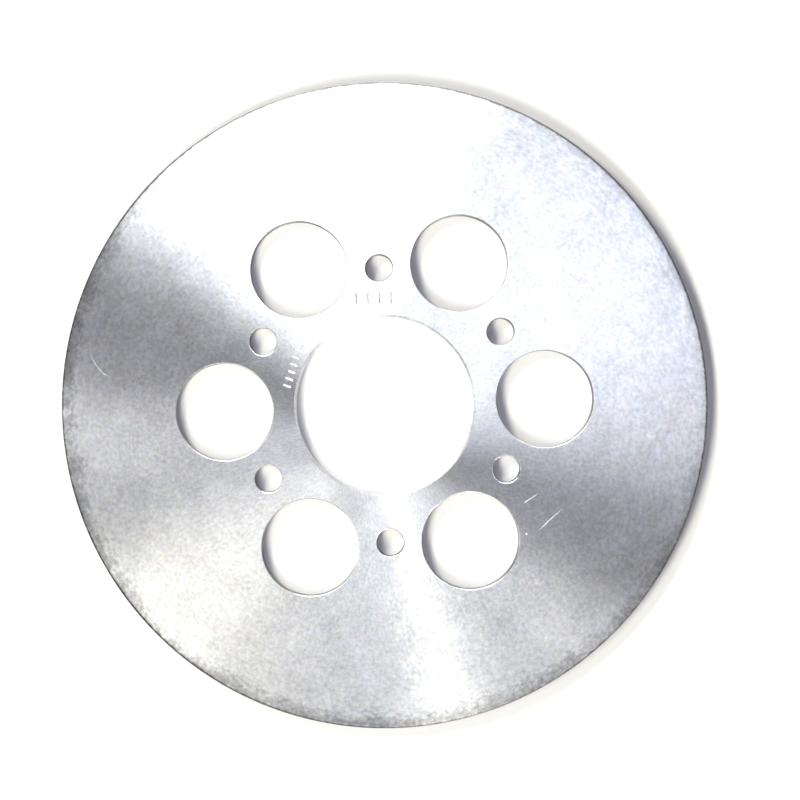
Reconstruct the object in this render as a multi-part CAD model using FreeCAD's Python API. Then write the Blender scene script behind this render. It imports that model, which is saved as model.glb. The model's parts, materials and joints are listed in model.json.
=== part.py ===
import FreeCAD, Part
import math
import os

# Flat one-piece brake disc, bolted to a wheel hub through six small holes.
# Millimetres. +Z is the spin axis, the back face lies on Z = 0 and one bolt hole is on +Y.

# Plate
rotor_diameter = 254.0
thickness = 6.35
rim_edge_break = 0.4

# Hub register
hub_bore_diameter = 69.85
hub_bore_chamfer = 0.8

# Bolt holes
bolt_count = 6
bolt_circle_diameter = 107.95
bolt_hole_diameter = 10.7
bolt_hole_edge_break = 0.35
first_bolt_angle = 90.0

# Lightening windows, one midway between each pair of bolt holes
window_count = 6
window_circle_diameter = 126.0
window_diameter = 38.1
window_edge_break = 0.3
first_window_angle = first_bolt_angle - 180.0 / window_count

# Plain punched bars on the front face: a short row under the first bolt hole and a long one
# beside the hub register. They carry no letters or numbers.
bar_depth = 0.2
short_row_bars = 4
short_row_pitch = 4.6
short_row_bar_size = (1.1, 4.2)
short_row_centre = (-2.3, 42.4)
short_row_heading = 0.0
long_row_bars = 9
long_row_pitch = 2.9
long_row_bar_size = (0.9, 3.2)
long_row_centre = (-34.0, 20.0)
long_row_heading = 69.0

# How far each cutting tool runs past the plate
cut_overrun = 1.0

front = thickness
spin_axis = FreeCAD.Vector(0, 0, 1)


def turned(outline):
    """Solid of revolution about Z from (radius, height) points."""
    points = [FreeCAD.Vector(radius, 0, height) for radius, height in outline]
    wire = Part.makePolygon(points + points[:1])
    return Part.Face(wire).revolve(FreeCAD.Vector(0, 0, 0), spin_axis, 360)


def blank_disc():
    """The plate with its rim edges broken and its hub register bored and chamfered."""
    rim = rotor_diameter / 2
    bore = hub_bore_diameter / 2
    outline = [
        (bore, hub_bore_chamfer),
        (bore + hub_bore_chamfer, 0),
        (rim - rim_edge_break, 0),
        (rim, rim_edge_break),
        (rim, front - rim_edge_break),
        (rim - rim_edge_break, front),
        (bore + hub_bore_chamfer, front),
        (bore, front - hub_bore_chamfer),
    ]
    return turned(outline)


def through_cutter(diameter, edge_break):
    """Tool for a through hole on Z whose edges are broken at 45 degrees on both faces."""
    radius = diameter / 2
    mouth = radius + edge_break + cut_overrun
    outline = [
        (0, -cut_overrun),
        (mouth, -cut_overrun),
        (radius, edge_break),
        (radius, front - edge_break),
        (mouth, front + cut_overrun),
        (0, front + cut_overrun),
    ]
    return turned(outline)


def ring_of_cutters(cutter, count, circle_diameter, first_angle):
    """Copies of a cutter spaced evenly round a circle about Z."""
    copies = []
    for index in range(count):
        angle = math.radians(first_angle + index * 360 / count)
        copy = cutter.copy()
        copy.translate(FreeCAD.Vector(math.cos(angle), math.sin(angle), 0) * (circle_diameter / 2))
        copies.append(copy)
    return copies


def row_of_bars(count, pitch, bar_size, centre, heading):
    """Shallow bars across a straight row on the front face; heading is the row's direction."""
    width, length = bar_size
    bars = []
    for index in range(count):
        along = (index - (count - 1) / 2) * pitch
        bar = Part.makeBox(width, length, bar_depth + cut_overrun)
        bar.translate(FreeCAD.Vector(along - width / 2, -length / 2, front - bar_depth))
        bar.rotate(FreeCAD.Vector(0, 0, 0), spin_axis, heading)
        bar.translate(FreeCAD.Vector(centre[0], centre[1], 0))
        bars.append(bar)
    return bars


def rotor_disc():
    """The finished disc."""
    windows = ring_of_cutters(
        through_cutter(window_diameter, window_edge_break),
        window_count, window_circle_diameter, first_window_angle)
    bolt_holes = ring_of_cutters(
        through_cutter(bolt_hole_diameter, bolt_hole_edge_break),
        bolt_count, bolt_circle_diameter, first_bolt_angle)
    short_row = row_of_bars(
        short_row_bars, short_row_pitch, short_row_bar_size, short_row_centre, short_row_heading)
    long_row = row_of_bars(
        long_row_bars, long_row_pitch, long_row_bar_size, long_row_centre, long_row_heading)
    return blank_disc().cut(windows + bolt_holes + short_row + long_row)


os.makedirs("parts", exist_ok=True)
disc = rotor_disc()
disc.exportStep("parts/rotor_disc.step")
print("rotor_disc", "valid", disc.isValid(), "solids", len(disc.Solids), "volume_mm3", round(disc.Volume, 1))
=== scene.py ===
import json
import math

import bmesh
import bpy
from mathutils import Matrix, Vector, geometry


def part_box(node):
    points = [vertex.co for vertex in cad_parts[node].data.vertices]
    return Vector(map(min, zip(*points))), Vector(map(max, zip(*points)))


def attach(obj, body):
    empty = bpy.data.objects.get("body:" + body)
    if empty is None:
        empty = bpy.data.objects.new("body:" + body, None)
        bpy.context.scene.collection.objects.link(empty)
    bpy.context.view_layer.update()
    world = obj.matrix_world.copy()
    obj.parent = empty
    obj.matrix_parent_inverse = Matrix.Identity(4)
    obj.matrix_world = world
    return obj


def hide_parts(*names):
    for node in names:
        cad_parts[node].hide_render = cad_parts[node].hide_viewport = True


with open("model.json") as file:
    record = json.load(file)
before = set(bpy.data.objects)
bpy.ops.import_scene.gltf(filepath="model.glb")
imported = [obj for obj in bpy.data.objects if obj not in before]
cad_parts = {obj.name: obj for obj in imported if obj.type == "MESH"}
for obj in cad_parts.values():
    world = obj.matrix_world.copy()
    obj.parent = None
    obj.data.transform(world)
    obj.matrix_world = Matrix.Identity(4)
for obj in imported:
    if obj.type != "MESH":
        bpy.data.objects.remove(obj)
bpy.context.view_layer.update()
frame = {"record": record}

MM = 0.001

# ---------------------------------------------------------------- sizes, from the frame
disc_low, disc_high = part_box("rotor_disc")
rim_radius = (disc_high.x - disc_low.x) / 2
front = disc_high.z
back = disc_low.z
mounts = {mount["name"]: mount for mount in frame["record"]["mounts"]}
bore_radius = mounts["hub_bore"]["dims"]["r_mm"] * MM
bore_chamfer = (front - back - mounts["hub_bore"]["dims"]["length_mm"] * MM) / 2
bolt_dims = mounts["hub_bolts"]["dims"]
openings = {opening["name"]: opening["box_m"] for opening in frame["record"]["physics"]["openings"]}


def box_centre(box):
    """Middle of an opening's box, seen from above."""
    low, high = box
    return Vector(((low[0] + high[0]) / 2, (low[1] + high[1]) / 2))


window_centres = [box_centre(box) for name, box in openings.items() if name.startswith("window_")]
bolt_centres = [box_centre(box) for name, box in openings.items() if name.startswith("bolt_hole_")]
window_radius = 19.05 * MM
bolt_radius = bolt_dims["hole_r_mm"] * MM

view_roll = -2.35  # degrees that the camera and the lights are turned about the spin axis

# ---------------------------------------------------------------- surface detail, in metres
window_edge = 0.3 * MM
bolt_edge = 0.35 * MM
rim_edge = 0.4 * MM
rolloff_width = 3.4 * MM
rolloff_drop = 0.10 * MM
rolloff_shares = (0.25, 0.5, 0.75, 0.88)  # where along its width the roll-off has rings
rolloff_margin = 0.3 * MM  # flat band inside the roll-off
rim_segments = 384
bore_segments = 192
window_segments = 128
bolt_segments = 64
edge_steps = 3
collar = 0.1 * MM  # flat band round each rounded hole edge
sharp_angle = math.radians(35)
bar_depth = 0.2 * MM
bar_half_steps = 6
bar_bluntness = 8.0
scratch_steps = 12
scratch_bluntness = 1.6
# Rows of plain punched bars: count, pitch, bar width and length, centre and heading in degrees
short_row = (4, 4.6 * MM, (1.1 * MM, 4.2 * MM), (-2.3 * MM, 42.4 * MM), 0.0)
long_row = (9, 2.9 * MM, (0.9 * MM, 3.2 * MM), (-34.0 * MM, 20.0 * MM), 69.0)
grind_centre = (-3.5 * MM, -10.0 * MM)  # the faces were ground off centre


def mm_point(x, y):
    return (x * MM, y * MM)


# Scratches in the front face: start, end, sideways bow at the middle, width, depth
scratches = [
    (mm_point(57.9, -52.0), mm_point(68.1, -43.4), 0.2 * MM, 0.70 * MM, 0.055 * MM),
    (mm_point(52.5, -40.8), mm_point(59.3, -36.8), 0.1 * MM, 0.55 * MM, 0.035 * MM),
    (mm_point(53.3, -52.9), mm_point(53.9, -52.3), 0.0, 0.80 * MM, 0.060 * MM),
    (mm_point(-115.1, 27.2), mm_point(-106.3, 14.6), -1.9 * MM, 0.45 * MM, 0.020 * MM),
    (mm_point(-81.8, -10.4), mm_point(-93.8, -29.3), 0.6 * MM, 0.40 * MM, 0.018 * MM),
]


# ---------------------------------------------------------------- mesh building
def circle(bm, centre, radius, height, segments):
    """A ring of vertices, anticlockwise seen from above."""
    ring = []
    for index in range(segments):
        angle = 2 * math.pi * index / segments
        ring.append(bm.verts.new((
            centre[0] + radius * math.cos(angle),
            centre[1] + radius * math.sin(angle),
            height)))
    return ring


def bridge(bm, first, second):
    """Quads between two rings with the same count."""
    count = len(first)
    for index in range(count):
        after = (index + 1) % count
        face = bm.faces.new((first[index], first[after], second[after], second[index]))
        face.smooth = True


def rounded_edge(width, steps):
    """(inset, drop) pairs of a quarter-round edge, from the face to the wall."""
    pairs = []
    for step in range(1, steps + 1):
        angle = math.pi / 2 * step / steps
        pairs.append((width * (1 - math.sin(angle)), width * (1 - math.cos(angle))))
    return pairs


def opening_wall(bm, centre, radius, levels, segments):
    """Wall of an opening through (outward step, height) levels. Returns its first and last rings."""
    rings = [circle(bm, centre, radius + step, height, segments) for step, height in levels]
    for upper, lower in zip(rings, rings[1:]):
        bridge(bm, upper, lower)
    return rings[0], rings[-1]


def hole(bm, centre, radius, edge, segments):
    """Wall of a through hole with rounded edges. Returns its rings on the front and back faces."""
    turn = rounded_edge(edge, edge_steps)
    levels = [(edge + collar, front), (edge, front)]
    levels += [(step, front - drop) for step, drop in turn]
    levels += [(step, back + drop) for step, drop in reversed(turn)]
    levels += [(edge, back), (edge + collar, back)]
    return opening_wall(bm, centre, radius, levels, segments)


def bore(bm):
    """Hub register: a straight wall between two flat chamfers."""
    levels = [
        (bore_chamfer, front),
        (0, front - bore_chamfer),
        (0, back + bore_chamfer),
        (bore_chamfer, back)]
    return opening_wall(bm, (0, 0), bore_radius, levels, bore_segments)


def rim(bm):
    """Rim: each face falls away gently over its last few millimetres, then turns down into the wall."""
    fall = [(rolloff_width + rolloff_margin, 0.0), (rolloff_width, 0.0)]
    for share in rolloff_shares:
        fall.append((rolloff_width * (1 - share), rolloff_drop * share ** 2))
    turn = [(inset, rolloff_drop + drop) for inset, drop in rounded_edge(rim_edge, edge_steps)]
    profile = fall + [(rim_edge, rolloff_drop)] + turn
    levels = [(inset, front - drop) for inset, drop in profile]
    levels += [(inset, back + drop) for inset, drop in reversed(profile)]
    rings = [circle(bm, (0, 0), rim_radius - inset, height, rim_segments) for inset, height in levels]
    for upper, lower in zip(rings, rings[1:]):
        bridge(bm, lower, upper)
    return rings[0], rings[-1]


def groove(bm, path, width, depth, bluntness):
    """A V-shaped cut along a path in the front face. Returns its ring on the face.

    width and depth are at the middle and run out to nothing at both ends: slowly where bluntness
    is near 1, all at once where it is large.
    """
    last = len(path) - 1
    left, right, bottom = [], [], []
    for index, point in enumerate(path):
        ahead = (path[min(index + 1, last)] - path[max(index - 1, 0)]).normalized()
        side = Vector((-ahead.y, ahead.x))
        share = max(0.0, 1 - abs(2 * index / last - 1) ** bluntness) ** (1 / bluntness)
        reach = side * (width / 2 * share)
        if 0 < index < last:
            left.append(bm.verts.new((*(point + reach), front)))
            right.append(bm.verts.new((*(point - reach), front)))
            bottom.append(bm.verts.new((*point, front - depth * share)))
    start = bm.verts.new((*path[0], front))
    end = bm.verts.new((*path[-1], front))
    for bank in (left, right):
        bm.faces.new((start, bank[0], bottom[0]))
        for index in range(len(bank) - 1):
            bm.faces.new((bank[index], bank[index + 1], bottom[index + 1], bottom[index]))
        bm.faces.new((bank[-1], end, bottom[-1]))
    return [start] + right + [end] + left[::-1]


def inside(point, loop):
    """Whether a point lies within a closed ring of vertices, seen from above."""
    within = False
    for first, second in zip(loop, loop[1:] + loop[:1]):
        (x0, y0), (x1, y1) = first.co.xy, second.co.xy
        if (y0 > point.y) != (y1 > point.y) and point.x < x0 + (x1 - x0) * (point.y - y0) / (y1 - y0):
            within = not within
    return within


def fill_face(bm, outer, holes):
    """Flat triangles between the outer ring and the rings of the holes, all at one height."""
    ring, edges = [], []
    for loop in [outer] + holes:
        first = len(ring)
        ring += loop
        edges += [(first + index, first + (index + 1) % len(loop)) for index in range(len(loop))]
    points = [vertex.co.xy / MM for vertex in ring]
    convex_hull, tolerance = 0, 1e-6
    triangles = geometry.delaunay_2d_cdt(points, edges, [], convex_hull, tolerance)[2]
    boxes = []
    for loop in holes:
        across, along = zip(*(vertex.co.xy for vertex in loop))
        boxes.append((min(across), max(across), min(along), max(along), loop))
    for triangle in triangles:
        centre = sum((ring[index].co.xy for index in triangle), Vector((0, 0))) / 3
        near = [box[4] for box in boxes if box[0] < centre.x < box[1] and box[2] < centre.y < box[3]]
        if not any(inside(centre, loop) for loop in near):
            bm.faces.new([ring[index] for index in triangle])


def bar_row(bm, count, pitch, size, centre, heading):
    """A row of plain punched bars, each across the row."""
    along = Vector((math.cos(math.radians(heading)), math.sin(math.radians(heading))))
    across = Vector((-along.y, along.x))
    width, length = size
    rings = []
    for index in range(count):
        middle = Vector(centre) + along * ((index - (count - 1) / 2) * pitch)
        steps = range(-bar_half_steps, bar_half_steps + 1)
        shares = [math.sin(math.pi / 2 * (step / bar_half_steps)) for step in steps]
        path = [middle + across * (length / 2 * share) for share in shares]
        rings.append(groove(bm, path, width, bar_depth, bar_bluntness))
    return rings


def scratch(bm, start, end, bow, width, depth):
    """A long thin scratch that bends sideways by bow at its middle."""
    first, last = Vector(start), Vector(end)
    ahead = last - first
    side = Vector((-ahead.y, ahead.x)).normalized()
    path = []
    for step in range(scratch_steps + 1):
        share = step / scratch_steps
        path.append(first + ahead * share + side * (4 * bow * share * (1 - share)))
    return groove(bm, path, width, depth, scratch_bluntness)


def build_disc():
    """The whole disc as one closed mesh."""
    bm = bmesh.new()
    rim_front, rim_back = rim(bm)
    rings = [bore(bm)]
    rings += [hole(bm, centre, window_radius, window_edge, window_segments) for centre in window_centres]
    rings += [hole(bm, centre, bolt_radius, bolt_edge, bolt_segments) for centre in bolt_centres]
    marks = bar_row(bm, *short_row) + bar_row(bm, *long_row)
    for start, end, bow, width, depth in scratches:
        marks.append(scratch(bm, start, end, bow, width, depth))
    fill_face(bm, rim_front, [upper for upper, _ in rings] + marks)
    fill_face(bm, rim_back, [lower for _, lower in rings])
    bmesh.ops.recalc_face_normals(bm, faces=bm.faces)
    for edge in bm.edges:
        edge.smooth = edge.calc_face_angle() < sharp_angle
    mesh = bpy.data.meshes.new("ground_disc")
    bm.to_mesh(mesh)
    bm.free()
    disc = bpy.data.objects.new("ground_disc", mesh)
    bpy.context.scene.collection.objects.link(disc)
    return disc


# ---------------------------------------------------------------- material
class Nodes:
    """Short names for adding and joining shader nodes."""

    def __init__(self, material):
        material.use_nodes = True
        self.tree = material.node_tree
        self.shader = self.tree.nodes["Principled BSDF"]

    def add(self, kind, **settings):
        node = self.tree.nodes.new("ShaderNode" + kind)
        for name, value in settings.items():
            setattr(node, name, value)
        return node

    def join(self, output, socket):
        self.tree.links.new(output, socket)

    def math(self, operation, *values):
        """A Math node. Each value is a number or another node's output."""
        node = self.add("Math", operation=operation)
        for socket, value in zip(node.inputs, values):
            if isinstance(value, (int, float)):
                socket.default_value = value
            else:
                self.join(value, socket)
        return node.outputs["Value"]

    def scaled(self, value, factor, offset):
        """value times factor, plus offset."""
        return self.math("MULTIPLY_ADD", value, factor, offset)

    def noise(self, vector, scale, detail, roughness=0.5):
        """Smooth noise from 0 to 1, about 0.5 on average."""
        node = self.add("TexNoise")
        node.inputs["Scale"].default_value = scale
        node.inputs["Detail"].default_value = detail
        node.inputs["Roughness"].default_value = roughness
        self.join(vector, node.inputs["Vector"])
        return node.outputs["Fac"]

    def remap(self, value, low, high, to_low, to_high):
        """A clamped straight-line map from one range to another."""
        node = self.add("MapRange", clamp=True)
        numbers = {"From Min": low, "From Max": high, "To Min": to_low, "To Max": to_high}
        for name, number in numbers.items():
            node.inputs[name].default_value = number
        self.join(value, node.inputs["Value"])
        return node.outputs["Result"]


def polar(nodes, point, centre):
    """x and y from a centre, the distance from it, and the height."""
    split = nodes.add("SeparateXYZ")
    nodes.join(point, split.inputs["Vector"])
    x = nodes.math("SUBTRACT", split.outputs["X"], centre[0])
    y = nodes.math("SUBTRACT", split.outputs["Y"], centre[1])
    squares = nodes.math("ADD", nodes.math("MULTIPLY", x, x), nodes.math("MULTIPLY", y, y))
    return x, y, nodes.math("SQRT", squares), split.outputs["Z"]


def ring_space(nodes, point, along, across):
    """Coordinates for grain that runs round the grind's centre, with no seam.

    along and across are how many noise cells fit in a metre round and outward at the rim.
    """
    x, y, radius, z = polar(nodes, point, grind_centre)
    turn = rim_radius * along
    joined = nodes.add("CombineXYZ")
    nodes.join(nodes.math("MULTIPLY", nodes.math("DIVIDE", x, radius), turn), joined.inputs["X"])
    nodes.join(nodes.math("MULTIPLY", nodes.math("DIVIDE", y, radius), turn), joined.inputs["Y"])
    nodes.join(nodes.math("MULTIPLY", nodes.math("SUBTRACT", radius, z), across), joined.inputs["Z"])
    return joined.outputs["Vector"]


def grind_tangent(nodes, point):
    """Direction of the grain at a point: round the grind's centre."""
    x, y, _, _ = polar(nodes, point, grind_centre)
    joined = nodes.add("CombineXYZ")
    nodes.join(nodes.math("MULTIPLY", y, -1.0), joined.inputs["X"])
    nodes.join(x, joined.inputs["Y"])
    unit = nodes.add("VectorMath", operation="NORMALIZE")
    nodes.join(joined.outputs["Vector"], unit.inputs[0])
    return unit.outputs["Vector"]


def wall_shade_mask(nodes, radius):
    """Painted shade on the walls and edge breaks: 1 there and 0 on the flat faces."""
    tilted, level = 0.85, 0.93  # how far along the axis a surface faces
    machined_to, shaded_from = 36.0 * MM, 37.0 * MM
    bore_shade_share = 0.05  # the hub register and its chamfer get hardly any of the painted shade
    facing = nodes.add("SeparateXYZ")
    nodes.join(nodes.add("NewGeometry").outputs["Normal"], facing.inputs["Vector"])
    slope = nodes.remap(nodes.math("ABSOLUTE", facing.outputs["Z"]), tilted, level, 1.0, 0.0)
    share_by_place = nodes.remap(radius, machined_to, shaded_from, bore_shade_share, 1.0)
    return nodes.math("MULTIPLY", slope, share_by_place)


def rim_masks(nodes, x, y, radius, speckle, cloud):
    """A thin line of painted shade along the rim's edge, and a blotched darkening inside it, each from 0
    to 1.
    """
    line_raggedness, line_solid, line_end = 0.8 * MM, 0.5 * MM, 1.1 * MM
    cloud_reach, speckle_reach = 12.0 * MM, 8.0 * MM
    shade_solid, shade_end = 0.5 * MM, 6.0 * MM
    fade_across, faded_share = 120.0 * MM, 0.2
    from_rim = nodes.math("SUBTRACT", rim_radius, radius)
    speckle_swing = nodes.math("SUBTRACT", speckle, 0.5)
    cloud_swing = nodes.math("SUBTRACT", cloud, 0.5)

    # the speckle eats into the line
    ragged = nodes.scaled(speckle_swing, line_raggedness, from_rim)
    line = nodes.remap(ragged, line_solid, line_end, 1.0, 0.0)

    blotched = nodes.scaled(cloud_swing, cloud_reach, from_rim)
    blotched = nodes.scaled(speckle_swing, speckle_reach, blotched)
    shade = nodes.remap(blotched, shade_solid, shade_end, 1.0, 0.0)
    # the blotched darkening is weaker towards +X and +Y
    share_by_place = nodes.remap(nodes.math("ADD", x, y), 0.0, fade_across, 1.0, faded_share)
    return line, nodes.math("MULTIPLY", shade, share_by_place)


def steel_colour(nodes, point, grain, speckle, cloud, painted_shade, shade):
    """Mottled grey with faint blue and yellow stains, painted shade on the walls, edge breaks and rim
    edge, and darker near the rim.
    """
    grain_share, speckle_share, cloud_share, base = 0.12, 0.60, 0.40, 0.16
    shade_loss, painted_shade_loss = 0.42, 0.76
    blue_stain = nodes.noise(ring_space(nodes, point, 220, 320), 1.0, 1.0)
    yellow_stain = nodes.noise(ring_space(nodes, point, 170, 410), 1.0, 1.0)
    level = nodes.scaled(grain, grain_share, nodes.math("MULTIPLY", speckle, speckle_share))
    level = nodes.scaled(cloud, cloud_share, level)
    level = nodes.math("ADD", level, base)
    level = nodes.math("MULTIPLY", level, nodes.scaled(shade, -shade_loss, 1.0))
    # painted shade on the walls, edge breaks and rim edge
    level = nodes.math("MULTIPLY", level, nodes.scaled(painted_shade, -painted_shade_loss, 1.0))
    # the painted shade is tinted a little warm
    red = nodes.scaled(painted_shade, 0.05, nodes.scaled(yellow_stain, 0.12, 0.94))
    blue = nodes.scaled(painted_shade, -0.02, nodes.scaled(blue_stain, 0.15, 0.95))
    tint = nodes.add("CombineColor")
    nodes.join(nodes.math("MULTIPLY", level, red), tint.inputs["Red"])
    nodes.join(level, tint.inputs["Green"])
    nodes.join(nodes.math("MULTIPLY", level, blue), tint.inputs["Blue"])
    return tint.outputs["Color"]


def steel_roughness(nodes, speckle, cloud, painted_shade):
    """Satin, hardly varied over the ground faces and duller where the shade is painted."""
    polish, swing, dulling = 0.285, 0.01, 0.20
    rough = nodes.scaled(nodes.math("SUBTRACT", speckle, 0.5), swing, polish)
    rough = nodes.scaled(nodes.math("SUBTRACT", cloud, 0.5), swing, rough)
    return nodes.scaled(painted_shade, dulling, rough)


def steel_relief(nodes, grain, speckle):
    """The shallow relief that the grinding leaves."""
    bump = nodes.add("Bump")
    bump.inputs["Strength"].default_value = 0.3
    bump.inputs["Distance"].default_value = 0.006 * MM
    height = nodes.math("ADD", nodes.math("MULTIPLY", grain, 0.6), nodes.math("MULTIPLY", speckle, 0.4))
    nodes.join(height, bump.inputs["Height"])
    return bump.outputs["Normal"]


def steel():
    """Ground steel: tight grain round the grind's centre, fine speckle, painted shade on the walls and
    rim edge, and darker near the rim.
    """
    material = bpy.data.materials.new("ground_steel")
    nodes = Nodes(material)
    shader = nodes.shader
    shader.inputs["Metallic"].default_value = 1.0
    shader.inputs["Anisotropic"].default_value = 0.84
    shader.inputs["Anisotropic Rotation"].default_value = 0.25
    point = nodes.add("TexCoord").outputs["Object"]
    nodes.join(grind_tangent(nodes, point), shader.inputs["Tangent"])
    x, y, radius, _ = polar(nodes, point, (0, 0))

    grain = nodes.noise(ring_space(nodes, point, 110, 1300), 1.0, 2.0, 0.6)
    speckle = nodes.noise(ring_space(nodes, point, 480, 680), 1.0, 2.0, 0.65)
    cloud = nodes.noise(point, 90.0, 4.0, 0.65)
    rim_line_shade, rim_shade = rim_masks(nodes, x, y, radius, speckle, cloud)
    # painted shade: the walls, the edge breaks and a thin line along the rim's edge are darkened
    wall_shade_strength = 0.92
    wall_shade = nodes.math("MULTIPLY", wall_shade_mask(nodes, radius), wall_shade_strength)
    painted_shade = nodes.math("MAXIMUM", wall_shade, rim_line_shade)

    colour = steel_colour(nodes, point, grain, speckle, cloud, painted_shade, rim_shade)
    nodes.join(colour, shader.inputs["Base Color"])
    nodes.join(steel_roughness(nodes, speckle, cloud, painted_shade), shader.inputs["Roughness"])
    nodes.join(steel_relief(nodes, grain, speckle), shader.inputs["Normal"])
    return material


# ---------------------------------------------------------------- surroundings
def floor():
    """A sheet of white paper under the disc."""
    half = 3.0
    white = (0.86, 0.86, 0.86, 1)
    lit_to, glow_from, glow = 0.35, 0.80, 0.85
    mesh = bpy.data.meshes.new("floor")
    corners = [(-half, -half, back), (half, -half, back), (half, half, back), (-half, half, back)]
    mesh.from_pydata(corners, [], [(0, 1, 2, 3)])
    plane = bpy.data.objects.new("floor", mesh)
    bpy.context.scene.collection.objects.link(plane)
    material = bpy.data.materials.new("paper")
    nodes = Nodes(material)
    shader = nodes.shader
    # the paper glows where it lies beyond the lamps that draw the shadows
    _, _, radius, _ = polar(nodes, nodes.add("TexCoord").outputs["Object"], (0, 0))
    nodes.join(nodes.remap(radius, lit_to, glow_from, 0.0, glow), shader.inputs["Emission Strength"])
    shader.inputs["Emission Color"].default_value = (1, 1, 1, 1)
    shader.inputs["Base Color"].default_value = white
    shader.inputs["Roughness"].default_value = 0.9
    shader.inputs["Specular IOR Level"].default_value = 0.0
    mesh.materials.append(material)
    return plane


def area_light(name, azimuth, zenith, distance, spread, level, colour, lit):
    """A soft light aimed at the disc, linked to the one thing that it lights.

    azimuth is its angle anticlockwise from the camera's right, zenith its angle from straight up
    and spread its width and height, all in degrees as seen from the disc. level is the light that
    falls on a surface facing it.
    """
    data = bpy.data.lights.new(name, "AREA")
    data.shape = "ELLIPSE"
    data.size = 2 * distance * math.tan(math.radians(spread[0] / 2))
    data.size_y = 2 * distance * math.tan(math.radians(spread[1] / 2))
    data.energy = math.pi * distance ** 2 * level
    data.color = colour
    lamp = bpy.data.objects.new(name, data)
    bpy.context.scene.collection.objects.link(lamp)
    turn, tilt = math.radians(azimuth + view_roll), math.radians(zenith)
    out = math.sin(tilt)
    lamp.location = Vector((math.cos(turn) * out, math.sin(turn) * out, math.cos(tilt))) * distance
    lamp.rotation_mode = "QUATERNION"
    lamp.rotation_quaternion = lamp.location.to_track_quat("Z", "Y")
    lamp.light_linking.receiver_collection = lit
    return lamp


def even_falloff(lamp):
    """Makes a light as strong further out as at the disc, so that it falls evenly on the paper."""
    data = lamp.data
    data.energy /= lamp.location.length ** 2
    data.use_nodes = True
    tree = data.node_tree
    falloff = tree.nodes.new("ShaderNodeLightFalloff")
    falloff.inputs["Strength"].default_value = 1
    tree.links.new(falloff.outputs["Constant"], tree.nodes["Emission"].inputs["Strength"])


def lit_group(name, piece):
    """A collection for linking lights to one piece."""
    group = bpy.data.collections.new(name)
    group.objects.link(piece)
    return group


def lights(disc, paper):
    """Soft studio light: one group draws the sheen on the steel, the other the paper's shadows."""
    cool, blue, white = (0.93, 0.97, 1.0), (0.83, 0.88, 1.0), (1.0, 1.0, 0.96)
    warm, violet, lilac = (1.0, 0.98, 0.83), (0.75, 0.73, 1.0), (0.94, 0.90, 1.0)
    metal = lit_group("lit_metal", disc)
    area_light("window", 98, 38, 2.0, (35, 10), 4.4, cool, metal)
    area_light("window_side", 125, 32, 0.9, (16, 34), 0.80, cool, metal)
    area_light("overhead", 32, 10, 0.9, (16, 5), 0.22, blue, metal)
    area_light("right", 354, 39, 0.9, (9, 26), 0.08, cool, metal)
    area_light("lamp", 223, 21, 0.9, (12, 18), 0.16, warm, metal)
    area_light("low_left", 248, 43, 2.0, (17, 12), 0.36, warm, metal)
    area_light("strip", 284, 59, 1.1, (5, 6), 2.2, warm, metal)
    area_light("low_right", 312, 53, 2.3, (9, 12), 1.15, white, metal)
    area_light("left", 183, 48, 2.3, (13, 36), 0.70, white, metal)
    area_light("ceiling", 0, 0, 2.0, (100, 100), 0.35, lilac, metal)

    ground = lit_group("lit_paper", paper)
    for lamp in (
            area_light("lamp_shadow", 235, 41, 0.70, (21, 21), 2.4, warm, ground),
            area_light("window_shadow", 137, 44, 0.75, (17, 17), 2.3, warm, ground),
            area_light("left_shadow", 211, 25, 0.45, (19, 19), 0.95, white, ground),
            area_light("fill", 0, 0, 8.0, (20, 20), 0.50, violet, ground)):
        even_falloff(lamp)
    room()


def room():
    """Dim overhead and bright near the horizon, as in a pale room with its ceiling lights off."""
    horizon, overhead = (0.80, 0.81, 0.84, 1), (0.105, 0.105, 0.115, 1)
    world = bpy.data.worlds.new("room")
    world.use_nodes = True
    tree = world.node_tree
    direction = tree.nodes.new("ShaderNodeTexCoord")
    split = tree.nodes.new("ShaderNodeSeparateXYZ")
    height = tree.nodes.new("ShaderNodeMapRange")
    height.interpolation_type = "SMOOTHSTEP"
    height.inputs["From Min"].default_value = 0.05
    height.inputs["From Max"].default_value = 0.55
    shades = tree.nodes.new("ShaderNodeMix")
    shades.data_type = "RGBA"
    shades.inputs["A"].default_value = horizon
    shades.inputs["B"].default_value = overhead
    tree.links.new(direction.outputs["Generated"], split.inputs["Vector"])
    tree.links.new(split.outputs["Z"], height.inputs["Value"])
    tree.links.new(height.outputs["Result"], shades.inputs["Factor"])
    tree.links.new(shades.outputs["Result"], tree.nodes["Background"].inputs["Color"])
    bpy.context.scene.world = world


def camera():
    """Straight above, turned a little and a few millimetres off the disc's axis."""
    reach = 0.72
    roll = math.radians(view_roll)
    disc_share_of_frame = 0.808
    aside, along = 6.0 * MM, 2.1 * MM
    data = bpy.data.cameras.new("camera")
    data.sensor_width = 36.0
    data.lens = data.sensor_width * reach / (2 * rim_radius / disc_share_of_frame)
    view = bpy.data.objects.new("camera", data)
    bpy.context.scene.collection.objects.link(view)
    view.location = (
        aside * math.cos(roll) - along * math.sin(roll),
        aside * math.sin(roll) + along * math.cos(roll),
        front + reach)
    view.rotation_euler = (0, 0, roll)
    bpy.context.scene.camera = view


disc = build_disc()
disc.data.materials.append(steel())
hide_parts("rotor_disc")
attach(disc, "root")
lights(disc, floor())
camera()
bpy.context.scene.view_settings.view_transform = "Standard"
